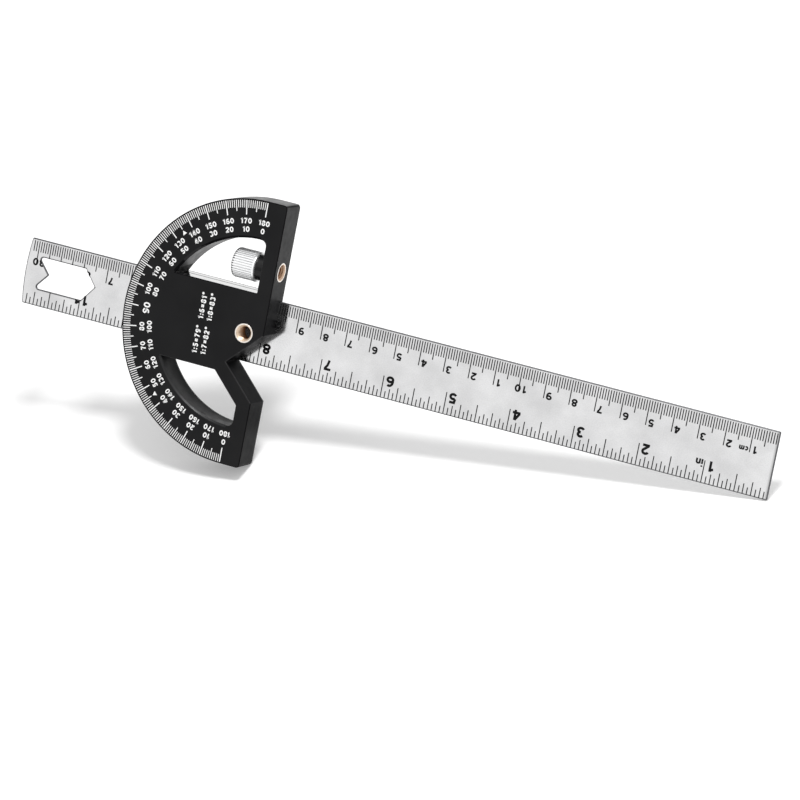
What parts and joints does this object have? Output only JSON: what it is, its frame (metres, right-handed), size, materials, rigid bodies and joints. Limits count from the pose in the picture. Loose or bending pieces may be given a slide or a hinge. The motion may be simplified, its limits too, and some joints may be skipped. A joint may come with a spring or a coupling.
{
  "type": "angle finder",
  "caption": "Half-disc protractor head with a straight fence and a centre-finding notch, sliding on a steel rule, with a knurled thumb screw.",
  "frame": {"origin": "centre of the protractor on the flat rear face of the head", "axes": "+X along the rule towards its zero end, +Y along the fence towards the thumb screw, +Z out of the graduated face"},
  "size_m": [0.3042, 0.1, 0.012],
  "materials": {
    "head_black": "satin black moulded",
    "cover_black": "black painted sheet",
    "screw_steel": "blackened",
    "insert_brass": "turned",
    "ruler_steel": "satin stainless",
    "knob_metal": "knurled",
    "stud_steel": "threaded"
  },
  "bodies": {
    "head": {"head": "head_black", "rear_cover": "cover_black", "cover_screw_1": "screw_steel", "cover_screw_2": "screw_steel", "cover_screw_3": "screw_steel", "cover_screw_4": "screw_steel", "cover_screw_5": "screw_steel", "cover_screw_6": "screw_steel", "centre_insert": "insert_brass", "fence_insert": "insert_brass"},
    "rule": {"ruler": "ruler_steel"},
    "screw_feed": {"knob_stud": "stud_steel"},
    "knob": {"knob": "knob_metal"}
  },
  "joints": [
    {"name": "rule_slide", "type": "slide", "parent": "head", "child": "rule", "axis": [1, 0, 0], "range_m": [-0.185, 0.044]},
    {"name": "knob_feed", "type": "slide", "parent": "head", "child": "screw_feed", "axis": [-1, 0, 0], "range_m": [0, 0.006]},
    {"name": "knob_turn", "type": "hinge", "parent": "screw_feed", "child": "knob", "pos_m": [-0.006, 0.0245, 0.0061], "axis": [-1, 0, 0], "range_deg": [0, 2160]}
  ],
  "couplings": [
    {"joint": "knob_turn", "follows": "knob_feed", "rad_per_m": 6283.2}
  ]
}
